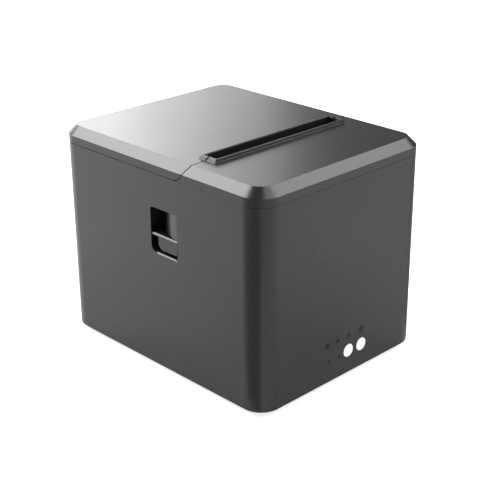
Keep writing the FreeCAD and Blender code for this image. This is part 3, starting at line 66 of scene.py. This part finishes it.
class Paint:
    """One procedural material, put together from a few repeated steps.
    Sizes are in metres on the real part."""

    def __init__(self, name, metallic=0.0, level=0.5):
        self.material = bpy.data.materials.new(name)
        self.material.use_nodes = True
        self.tree = self.material.node_tree
        self.shader = self.tree.nodes["Principled BSDF"]
        self.shader.inputs["Metallic"].default_value = metallic
        self.shader.inputs["Specular IOR Level"].default_value = level
        self.place = self.add("ShaderNodeTexCoord").outputs["Object"]
        self.normal = None

    def add(self, kind, **values):
        """A node, with its properties and its input values or links set by name."""
        node = self.tree.nodes.new(kind)
        for key, value in values.items():
            if hasattr(node, key):
                setattr(node, key, value)
            else:
                self.feed(node.inputs[key.replace("_", " ")], value)
        return node

    def feed(self, socket, value):
        """A link into a socket, or a plain value set on it."""
        if isinstance(value, bpy.types.NodeSocket):
            self.tree.links.new(value, socket)
        else:
            socket.default_value = value

    def stretched(self, across):
        """The place on the part, with each axis divided by a length."""
        mapping = self.add("ShaderNodeMapping", Vector=self.place)
        mapping.inputs["Scale"].default_value = tuple(1.0 / length for length in across)
        return mapping.outputs["Vector"]

    def noise(self, size, detail=2.0, roughness=0.5, across=None):
        """Soft noise from 0 to 1, with features of a size, or of a size along each axis."""
        if across is None:
            place, scale = self.place, 1.0 / size
        else:
            place, scale = self.stretched(across), 1.0
        node = self.add("ShaderNodeTexNoise", Vector=place)
        node.inputs["Scale"].default_value = scale
        node.inputs["Detail"].default_value = detail
        node.inputs["Roughness"].default_value = roughness
        return node.outputs["Fac"]

    def cells(self, size):
        """Distance to the middle of the nearest of many small cells."""
        node = self.add("ShaderNodeTexVoronoi", Vector=self.place)
        node.inputs["Scale"].default_value = 1.0 / size
        return node.outputs["Distance"]

    def between(self, value, low, high, to_low=0.0, to_high=1.0):
        """value from low..high, mapped and clamped to another range."""
        node = self.add("ShaderNodeMapRange", Value=value)
        for name, number in (
            ("From Min", low),
            ("From Max", high),
            ("To Min", to_low),
            ("To Max", to_high),
        ):
            node.inputs[name].default_value = number
        return node.outputs["Result"]

    def sum(self, *parts):
        """The parts added up; each is a number or a link."""
        total = parts[0]
        for part in parts[1:]:
            node = self.add("ShaderNodeMath", operation="ADD")
            self.feed(node.inputs[0], total)
            self.feed(node.inputs[1], part)
            total = node.outputs["Value"]
        return total

    def times(self, a, b):
        """The product of two numbers or links."""
        node = self.add("ShaderNodeMath", operation="MULTIPLY")
        self.feed(node.inputs[0], a)
        self.feed(node.inputs[1], b)
        return node.outputs["Value"]

    def mix(self, share, first, second):
        """Two colours mixed by a share."""
        node = self.add("ShaderNodeMix", data_type="RGBA")
        self.feed(node.inputs["Factor"], share)
        self.feed(node.inputs[6], colour(first))
        self.feed(node.inputs[7], colour(second))
        return node.outputs[2]

    def worn_edge(self, radius):
        """About 1 on sharp outer edges and inner corners, and 0 on open faces."""
        rounded = self.add("ShaderNodeBevel", samples=4, Radius=radius).outputs["Normal"]
        true = self.add("ShaderNodeNewGeometry").outputs["Normal"]
        node = self.add("ShaderNodeVectorMath", operation="DOT_PRODUCT")
        self.feed(node.inputs[0], rounded)
        self.feed(node.inputs[1], true)
        return self.between(node.outputs["Value"], 0.98, 0.75)

    def round_off(self, radius):
        """Edges catch the light as if they were rounded by a small radius."""
        self.normal = self.add("ShaderNodeBevel", samples=4, Radius=radius).outputs["Normal"]

    def bump(self, height, depth):
        """Relief from a height of 0 to 1, up to a depth."""
        node = self.add("ShaderNodeBump", Height=height, Strength=1.0)
        node.inputs["Distance"].default_value = depth
        if self.normal is not None:
            self.feed(node.inputs["Normal"], self.normal)
        self.normal = node.outputs["Normal"]

    def done(self, base, roughness):
        """The finished material, with its base colour, its roughness and the relief so far."""
        self.feed(self.shader.inputs["Base Color"], colour(base))
        self.feed(self.shader.inputs["Roughness"], roughness)
        if self.normal is not None:
            self.feed(self.shader.inputs["Normal"], self.normal)
        return self.material


def colour(value):
    """A grey level or an RGB triple as an RGBA colour; a link stays as it is."""
    if isinstance(value, bpy.types.NodeSocket):
        return value
    if isinstance(value, (int, float)):
        value = (value, value, value)
    return (*value, 1.0)


def moulded(name, grey, roughness, grain, depth, level=0.5, spread=0.10, worn=0.35):
    """Moulded plastic: an even grain, slow changes of tone, polish and scuffed edges.
    spread is how far its tone wanders, and worn is how strongly its edges are scuffed."""
    paint = Paint(name, level=level)
    cloud = paint.noise(38 * MM, detail=3.0)
    speck = paint.noise(0.9 * MM, detail=3.0, roughness=0.65)
    dark = tuple(c * (1.0 - spread) for c in grey)
    light = tuple(c * (1.0 + spread) for c in grey)
    base = paint.mix(paint.sum(paint.times(cloud, 0.6), paint.times(speck, 0.4)), dark, light)
    scuffed = tuple(min(1.0, c * 1.3 + 0.012) for c in grey)
    patches = paint.between(paint.noise(7 * MM, detail=4.0), 0.48, 0.70)
    scuff = paint.times(paint.times(paint.worn_edge(0.5 * MM), patches), worn)
    base = paint.mix(scuff, base, scuffed)
    paint.round_off(0.25 * MM)
    paint.bump(paint.noise(grain, detail=2.0, roughness=0.6), depth)
    rough = paint.sum(
        paint.between(cloud, 0.3, 0.7, roughness - 0.025, roughness + 0.025),
        paint.between(speck, 0.3, 0.7, -0.02, 0.02),
    )
    return paint.done(base, rough)


def smooth_cover():
    """The top covers: satin with faint handling marks and dust, and a more rounded rim at the slot."""
    paint = Paint("cover_plastic", level=COVER_LEVEL)
    cloud = paint.noise(55 * MM, detail=3.0)
    dust = paint.between(paint.cells(2.4 * MM), 0.05, 0.0)
    speck = paint.between(paint.noise(6 * MM, detail=2.0), 0.55, 0.7)
    base = paint.mix(cloud, COVER_GREY * 0.92, COVER_GREY * 1.08)
    base = paint.mix(paint.times(paint.times(dust, speck), 0.25), base, 0.12)
    patches = paint.between(paint.noise(9 * MM, detail=4.0), 0.5, 0.72)
    base = paint.mix(paint.times(paint.times(paint.worn_edge(0.4 * MM), patches), 0.3), base, 0.08)
    hairlines = paint.noise(0.0, detail=2.0, across=(0.25 * MM, 22 * MM, 22 * MM))
    height = paint.add("ShaderNodeSeparateXYZ", Vector=paint.place).outputs["Z"]
    paint.round_off(paint.between(height, RIM_FOOT, RIM_FOOT + 0.4 * MM, COVER_EDGE, RIM_EDGE))
    paint.bump(paint.noise(0.35 * MM, detail=2.0, roughness=0.6), 0.0012 * MM)
    rough = paint.sum(
        paint.between(cloud, 0.3, 0.7, COVER_ROUGH - 0.012, COVER_ROUGH + 0.012),
        paint.between(hairlines, 0.3, 0.7, -0.008, 0.008),
    )
    return paint.done(base, rough)


def metal(name, tone, roughness, along=(0.15 * MM, 0.15 * MM, 9 * MM)):
    """Bare or plated metal: fine drawn lines along one axis, soft stains and brighter edges."""
    paint = Paint(name, metallic=1.0)
    lines = paint.noise(0.0, detail=3.0, roughness=0.6, across=along)
    cloud = paint.noise(14 * MM, detail=4.0, roughness=0.6)
    dull = tuple(c * 0.88 for c in tone)
    bright = tuple(min(1.0, c * 1.12) for c in tone)
    base = paint.mix(paint.sum(paint.times(lines, 0.45), paint.times(cloud, 0.55)), dull, bright)
    base = paint.mix(paint.times(paint.worn_edge(0.3 * MM), 0.5), base, bright)
    paint.round_off(0.12 * MM)
    paint.bump(lines, 0.002 * MM)
    rough = paint.sum(
        paint.between(cloud, 0.3, 0.7, roughness - 0.05, roughness + 0.07),
        paint.between(lines, 0.3, 0.7, -0.03, 0.03),
    )
    return paint.done(base, rough)


def rubber(name, grey, roughness, grain, ring=None):
    """Rubber: dusty, dull, with a moulded skin, or with one ground round and round."""
    paint = Paint(name, level=0.35)
    bloom = paint.noise(5 * MM, detail=4.0, roughness=0.65)
    base = paint.mix(paint.between(bloom, 0.35, 0.75), grey, grey * 1.7 + 0.012)
    paint.round_off(0.2 * MM)
    skin = paint.noise(grain, detail=3.0, roughness=0.7)
    if ring is not None:
        skin = paint.sum(paint.times(skin, 0.5), paint.noise(0.0, detail=2.0, across=ring))
    paint.bump(skin, 0.012 * MM)
    return paint.done(base, paint.between(bloom, 0.3, 0.7, roughness - 0.06, roughness + 0.08))


def circuit_board():
    """Green solder mask with copper tracks showing through, and tinned dots."""
    paint = Paint("circuit_board", level=0.5)
    tracks = paint.add("ShaderNodeTexBrick", Vector=paint.place)
    for name, number in (
        ("Scale", 1.0 / (5.2 * MM)),
        ("Mortar Size", 0.035),
        ("Mortar Smooth", 0.1),
        ("Brick Width", 1.7),
        ("Row Height", 0.33),
    ):
        tracks.inputs[name].default_value = number
    line = paint.between(tracks.outputs["Fac"], 0.4, 0.6)
    mask = paint.mix(paint.noise(20 * MM), (0.010, 0.085, 0.030), (0.014, 0.115, 0.042))
    base = paint.mix(paint.times(line, 0.75), mask, (0.030, 0.19, 0.075))
    pads = paint.between(paint.cells(3.1 * MM), 0.13, 0.10)
    base = paint.mix(pads, base, (0.62, 0.60, 0.56))
    paint.bump(paint.sum(line, pads), 0.02 * MM)
    return paint.done(base, paint.between(pads, 0.0, 1.0, 0.34, 0.22))


def glossy(name, grey, roughness, level=0.5, glow=0.0):
    """Smooth moulded plastic or lacquer with a faint ripple. glow is the strength of a painted glow: the
    surface gives off light of its own, though it is no lamp.
    """
    paint = Paint(name, level=level)
    cloud = paint.noise(2.5 * MM, detail=3.0)
    base = paint.mix(cloud, tuple(c * 0.96 for c in grey), tuple(min(1.0, c * 1.02) for c in grey))
    grime = paint.times(paint.worn_edge(0.35 * MM), paint.between(cloud, 0.4, 0.7))
    base = paint.mix(paint.times(grime, 0.12), base, tuple(c * 0.6 for c in grey))
    paint.round_off(0.3 * MM)
    paint.bump(paint.noise(0.8 * MM, detail=2.0), 0.002 * MM)
    # painted glow: emission that brightens the surface, though nothing lights it from within
    if glow:
        paint.shader.inputs["Emission Color"].default_value = (1.0, 1.0, 1.0, 1.0)
        paint.shader.inputs["Emission Strength"].default_value = glow
    return paint.done(base, paint.between(cloud, 0.3, 0.7, roughness - 0.03, roughness + 0.04))


CASE_GREY = (0.014, 0.014, 0.0142)
CASE_ROUGH = 0.30
CASE_LEVEL = 0.5
COVER_GREY = 0.015
COVER_ROUGH = 0.30
COVER_LEVEL = 0.5
COVER_EDGE = 0.3 * MM
RIM_EDGE = 1.6 * MM
RIM_FOOT = 138.9 * MM

PAINTS = {
    "case_plastic": moulded("case_plastic", CASE_GREY, CASE_ROUGH, 0.35 * MM, 0.006 * MM, CASE_LEVEL),
    "cover_plastic": smooth_cover(),
    "inner_plastic": moulded("inner_plastic", (0.014, 0.014, 0.0145), 0.5, 0.5 * MM, 0.010 * MM, 0.4),
    # the keys carry a painted glow that makes them look whiter
    "button_plastic": glossy("button_plastic", (0.90, 0.90, 0.89), 0.25, glow=0.35),
    "rubber": rubber("rubber", 0.020, 0.80, 0.4 * MM),
    "platen_rubber": rubber("platen_rubber", 0.028, 0.62, 0.3 * MM, ring=(0.25 * MM, 8 * MM, 8 * MM)),
    "screw_steel": metal("screw_steel", (0.16, 0.16, 0.165), 0.42),
    "bright_steel": metal("bright_steel", (0.62, 0.62, 0.63), 0.22, along=(12 * MM, 0.2 * MM, 0.2 * MM)),
    "plated_sheet": metal("plated_sheet", (0.56, 0.57, 0.58), 0.36, along=(4 * MM, 0.3 * MM, 5 * MM)),
    "blade_steel": metal("blade_steel", (0.50, 0.51, 0.52), 0.26, along=(14 * MM, 0.12 * MM, 0.12 * MM)),
    "gear_brass": metal("gear_brass", (0.72, 0.52, 0.22), 0.30),
    "gear_plastic": moulded("gear_plastic", (0.72, 0.70, 0.64), 0.42, 0.4 * MM, 0.003 * MM, 0.5, 0.03, 0.1),
    "bush_plastic": moulded("bush_plastic", (0.030, 0.030, 0.031), 0.38, 0.3 * MM, 0.003 * MM),
    "head_ceramic": glossy("head_ceramic", (0.60, 0.57, 0.50), 0.18),
    "heat_sink": metal("heat_sink", (0.66, 0.67, 0.68), 0.38, along=(16 * MM, 0.3 * MM, 0.3 * MM)),
    "spring_steel": metal("spring_steel", (0.45, 0.45, 0.46), 0.28),
    "motor_can": metal("motor_can", (0.52, 0.52, 0.53), 0.30),
    "lens": glossy("lens", (0.005, 0.005, 0.006), 0.30, level=0.25),
    "circuit_board": circuit_board(),
    "switch_plastic": moulded("switch_plastic", (0.022, 0.022, 0.023), 0.45, 0.3 * MM, 0.004 * MM),
    "socket_plastic": moulded("socket_plastic", (0.016, 0.016, 0.0165), 0.40, 0.3 * MM, 0.004 * MM),
    "socket_metal": metal("socket_metal", (0.60, 0.59, 0.56), 0.27, along=(0.2 * MM, 7 * MM, 0.2 * MM)),
    "ribbon": glossy("ribbon", (0.62, 0.55, 0.38), 0.35),
}

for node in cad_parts.values():
    for slot in node.material_slots:
        slot.material = PAINTS[slot.material.name.split(".")[0]]


# --------------------------------------------------------------------------------------------
# Small printed signs above the lamps and keys
# --------------------------------------------------------------------------------------------

INK = glossy("sign_ink", (0.003, 0.003, 0.003), 0.60, level=0.06)
FRONT_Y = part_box("case_shell")[0].y
SIGN_HEIGHT = 28.7 * MM
INK_THICK = 0.02 * MM


def flat_band(name, outline, hollow=None):
    """A thin printed shape on the front face, from an outline of (x, z) in metres.
    hollow is the outline of a hole with as many points."""
    mesh = bmesh.new()
    rings = []
    for depth in (0.0, -INK_THICK):
        outer = [mesh.verts.new((x, FRONT_Y + depth, z)) for x, z in outline]
        inner = [mesh.verts.new((x, FRONT_Y + depth, z)) for x, z in hollow] if hollow else None
        rings.append((outer, inner))
    (back, back_hole), (face, face_hole) = rings
    count = len(outline)
    for k in range(count):
        following = (k + 1) % count
        mesh.faces.new((back[k], back[following], face[following], face[k]))
        if hollow:
            mesh.faces.new((back_hole[following], back_hole[k], face_hole[k], face_hole[following]))
            mesh.faces.new((face[k], face[following], face_hole[following], face_hole[k]))
            mesh.faces.new((back[following], back[k], back_hole[k], back_hole[following]))
    if not hollow:
        mesh.faces.new(face)
        mesh.faces.new(list(reversed(back)))
    bmesh.ops.recalc_face_normals(mesh, faces=mesh.faces)
    data = bpy.data.meshes.new(name)
    mesh.to_mesh(data)
    mesh.free()
    data.materials.append(INK)
    return bpy.data.objects.new(name, data)


def ring_of(x, z, radius, count, start=0.0, sweep=math.tau):
    """Points (x, z) on a circle, or on an arc with a point at each of its ends."""
    whole = abs(sweep - math.tau) < 1e-6
    steps = count if whole else count - 1
    angles = [start + sweep * k / steps for k in range(count)]
    return [(x + radius * math.cos(a), z + radius * math.sin(a)) for a in angles]


def sign(name, parts):
    """Several printed shapes joined into one piece that rides on the case."""
    for part in parts:
        scene.collection.objects.link(part)
    if len(parts) > 1:
        with bpy.context.temp_override(active_object=parts[0], selected_editable_objects=parts):
            bpy.ops.object.join()
    piece = parts[0]
    piece.name = name
    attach(piece, "case")


def arc_band(name, x, z, outer, inner, start, sweep, count):
    """A printed ring with a gap in it."""
    out = ring_of(x, z, outer, count, start, sweep)
    back = ring_of(x, z, inner, count, start, sweep)
    return flat_band(name, out + back[::-1])


def make_signs():
    """A ring with a dot, a triangle with a dot, a power sign and an arrow in a hexagon."""
    z = SIGN_HEIGHT
    top = math.pi / 2
    x = -14.9 * MM
    sign(
        "sign_status",
        [
            flat_band("a", ring_of(x, z, 1.7 * MM, 32), ring_of(x, z, 1.15 * MM, 32)),
            flat_band("b", ring_of(x, z, 0.65 * MM, 20)),
        ],
    )
    x = -5.7 * MM
    sign(
        "sign_error",
        [
            flat_band("a", ring_of(x, z, 2.1 * MM, 3, top), ring_of(x, z, 1.15 * MM, 3, top)),
            flat_band("b", ring_of(x, z, 0.42 * MM, 12)),
        ],
    )
    x = 3.9 * MM
    gap = math.radians(38)
    bar = 0.26 * MM
    sign(
        "sign_power",
        [
            arc_band("a", x, z, 1.7 * MM, 1.15 * MM, top + gap, math.tau - 2 * gap, 28),
            flat_band("b", [(x - bar, z), (x + bar, z), (x + bar, z + 1.8 * MM), (x - bar, z + 1.8 * MM)]),
        ],
    )
    x = 15.6 * MM
    head, shank, tail = 1.0 * MM, 0.34 * MM, 1.0 * MM
    sign(
        "sign_feed",
        [
            flat_band("a", ring_of(x, z, 2.2 * MM, 6, top), ring_of(x, z, 1.65 * MM, 6, top)),
            flat_band("b", [(x - head, z), (x + head, z), (x, z + 1.1 * MM)]),
            flat_band("c", [(x - shank, z - tail), (x + shank, z - tail), (x + shank, z), (x - shank, z)]),
        ],
    )


make_signs()


# --------------------------------------------------------------------------------------------
# Studio: floor, soft boxes, camera
# --------------------------------------------------------------------------------------------


FLOOR_WHITE = 0.85
FLOOR_GLOW = 0.8
FLOOR_DROP = 0.1 * MM
WORLD_LIGHT = 0.17

# how far the soft boxes stand away, and the height on the printer that they face
AWAY = 1.6
AIM_HEIGHT = 0.07

# name, heading, elevation, degrees across, degrees tall, radiance
SOFT_BOXES = [
    ("key_left_rear", -28.0, 42.0, 40.0, 26.0, 10.6),
    ("low_left_rear", -38.0, 18.0, 44.0, 24.0, 0.6),
    ("rear_panel", 18.0, 24.0, 34.0, 36.0, 4.8),
    ("rear_edge", 38.0, 24.0, 6.0, 36.0, 2.8),
    ("rear_trail", 44.0, 24.0, 6.0, 36.0, 1.8),
    ("side_right", 122.0, 44.0, 32.0, 24.0, 6.0),
    ("over_right_front", 165.0, 62.0, 32.0, 20.0, 3.6),
    ("low_right_front", 150.0, 18.0, 56.0, 26.0, 0.8),
]

# name, x, y, power
FLOOR_LAMPS = [
    ("floor_left_rear", -0.22, 0.12, 0.11),
    ("floor_front", 0.0, -0.22, 0.07),
]
LAMP_HEIGHT = 0.55
LAMP_SIZE = 0.30
LAMP_CONE = math.radians(80.0)

# name, x, y, then the heading and the reach of each further point of the outline
FLOOR_FLAGS = [
    ("flag_near_corner", -0.070, -0.088, [(-52.0, 0.45), (-98.0, 0.62), (-134.0, 0.45)]),
    ("flag_right_corner", 0.072, -0.086, [(119.0, 0.45), (92.0, 0.60), (60.0, 0.45)]),
]
FLAG_DARK = 0.30
FLAG_PALE = 0.34
FLAG_LIFT = 0.6 * MM

CAMERA_PLACE = (-0.4690, -0.4853, 0.3519)
CAMERA_HEADING = 44.53
CAMERA_PITCH = 23.485
CAMERA_ROLL = 0.28
CAMERA_LENS = 83.52


def direction(heading, elevation):
    """A unit vector from the printer: heading in degrees from +Y towards +X, elevation above the floor."""
    h, e = math.radians(heading), math.radians(elevation)
    return Vector((math.sin(h) * math.cos(e), math.cos(h) * math.cos(e), math.sin(e)))


def staged(name, mesh, material):
    """A piece of the studio, made from a bmesh."""
    data = bpy.data.meshes.new(name)
    mesh.to_mesh(data)
    mesh.free()
    data.materials.append(material)
    piece = bpy.data.objects.new(name, data)
    scene.collection.objects.link(piece)
    return piece


def studio_floor():
    """A pale floor. The camera sees it whitened, and fading to the white of the backdrop far away."""
    paint = Paint("studio_floor", level=0.2)
    cloud = paint.noise(0.6, detail=2.0)
    distance = paint.add("ShaderNodeVectorMath", operation="LENGTH", Vector=paint.place)
    far = paint.between(distance.outputs["Value"], 0.5, 1.2)
    pale = paint.mix(cloud, FLOOR_WHITE - 0.01, FLOOR_WHITE)
    paint.shader.inputs["Emission Color"].default_value = (1.0, 1.0, 1.0, 1.0)
    seen = paint.add("ShaderNodeLightPath").outputs["Is Camera Ray"]
    glow = paint.times(seen, paint.between(far, 0.0, 1.0, FLOOR_GLOW, 1.0))
    paint.feed(paint.shader.inputs["Emission Strength"], glow)
    mesh = bmesh.new()
    bmesh.ops.create_grid(mesh, x_segments=8, y_segments=8, size=6.0)
    floor = staged("studio_floor", mesh, paint.done(pale, 0.9))
    floor.location.z = cad_box[0].z - FLOOR_DROP


def studio_world():
    """A dim even light all round, behind which the camera sees plain white."""
    world = bpy.data.worlds.new("studio")
    world.use_nodes = True
    tree = world.node_tree
    background = tree.nodes["Background"]
    background.inputs["Color"].default_value = (1.0, 1.0, 1.0, 1.0)
    seen = tree.nodes.new("ShaderNodeLightPath")
    strength = tree.nodes.new("ShaderNodeMapRange")
    strength.inputs["To Min"].default_value = WORLD_LIGHT
    strength.inputs["To Max"].default_value = 1.0
    tree.links.new(seen.outputs["Is Camera Ray"], strength.inputs["Value"])
    tree.links.new(strength.outputs["Result"], background.inputs["Strength"])
    scene.world = world


def soft_box(name, heading, elevation, across, tall, radiance):
    """A soft box that faces the printer, with its angles across and up as the printer sees it.
    radiance is the brightness of its face."""
    width = 2.0 * AWAY * math.tan(math.radians(across / 2.0))
    height = 2.0 * AWAY * math.tan(math.radians(tall / 2.0))
    light = bpy.data.lights.new(name, "AREA")
    light.shape = "RECTANGLE"
    light.size = width
    light.size_y = height
    light.energy = radiance * width * height * math.pi
    lamp = bpy.data.objects.new(name, light)
    outward = direction(heading, elevation)
    lamp.location = Vector((0.0, 0.0, AIM_HEIGHT)) + outward * AWAY
    lamp.rotation_mode = "QUATERNION"
    lamp.rotation_quaternion = outward.to_track_quat("Z", "Y")
    lamp.visible_camera = False
    scene.collection.objects.link(lamp)


def floor_lamp(name, x, y, power):
    """A small soft box over the floor beside the printer, shining straight down in a narrow cone."""
    light = bpy.data.lights.new(name, "AREA")
    light.shape = "DISK"
    light.size = LAMP_SIZE
    light.spread = LAMP_CONE
    light.energy = power
    lamp = bpy.data.objects.new(name, light)
    lamp.location = (x, y, LAMP_HEIGHT)
    lamp.visible_camera = False
    lamp.visible_glossy = False
    scene.collection.objects.link(lamp)


def floor_flag(name, x, y, edges):
    """A grey card on the floor outside one corner of the printer, which darkens that corner's reflection.
    edges holds the heading and the reach of its outline's points from the corner."""
    paint = Paint(name, level=0.0)
    material = paint.done(paint.mix(paint.noise(1.0), FLAG_DARK, FLAG_PALE), 0.95)
    corner = Vector((x, y, cad_box[0].z + FLAG_LIFT))
    outline = [corner] + [corner + direction(heading, 0.0) * reach for heading, reach in edges]
    mesh = bmesh.new()
    mesh.faces.new([mesh.verts.new(point) for point in outline])
    flag = staged(name, mesh, material)
    flag.visible_camera = False
    flag.visible_shadow = False


def studio_camera():
    """The eye and lens that the printer is shown with: three-quarter view from the front left, above."""
    ahead = direction(CAMERA_HEADING, -CAMERA_PITCH)
    right = direction(CAMERA_HEADING + 90.0, 0.0)
    down = ahead.cross(right)
    roll = math.radians(CAMERA_ROLL)
    turned_right = math.cos(roll) * right + math.sin(roll) * down
    turned_down = math.cos(roll) * down - math.sin(roll) * right
    data = bpy.data.cameras.new("camera")
    data.sensor_width = 36.0
    data.lens = CAMERA_LENS
    data.clip_start = 0.05
    data.clip_end = 30.0
    camera = bpy.data.objects.new("camera", data)
    turn = Matrix((turned_right, -turned_down, -ahead)).transposed()
    camera.rotation_mode = "QUATERNION"
    camera.rotation_quaternion = turn.to_quaternion()
    camera.location = CAMERA_PLACE
    scene.collection.objects.link(camera)
    scene.camera = camera


studio_floor()
studio_world()
for box in SOFT_BOXES:
    soft_box(*box)
for lamp in FLOOR_LAMPS:
    floor_lamp(*lamp)
for flag in FLOOR_FLAGS:
    floor_flag(*flag)
studio_camera()
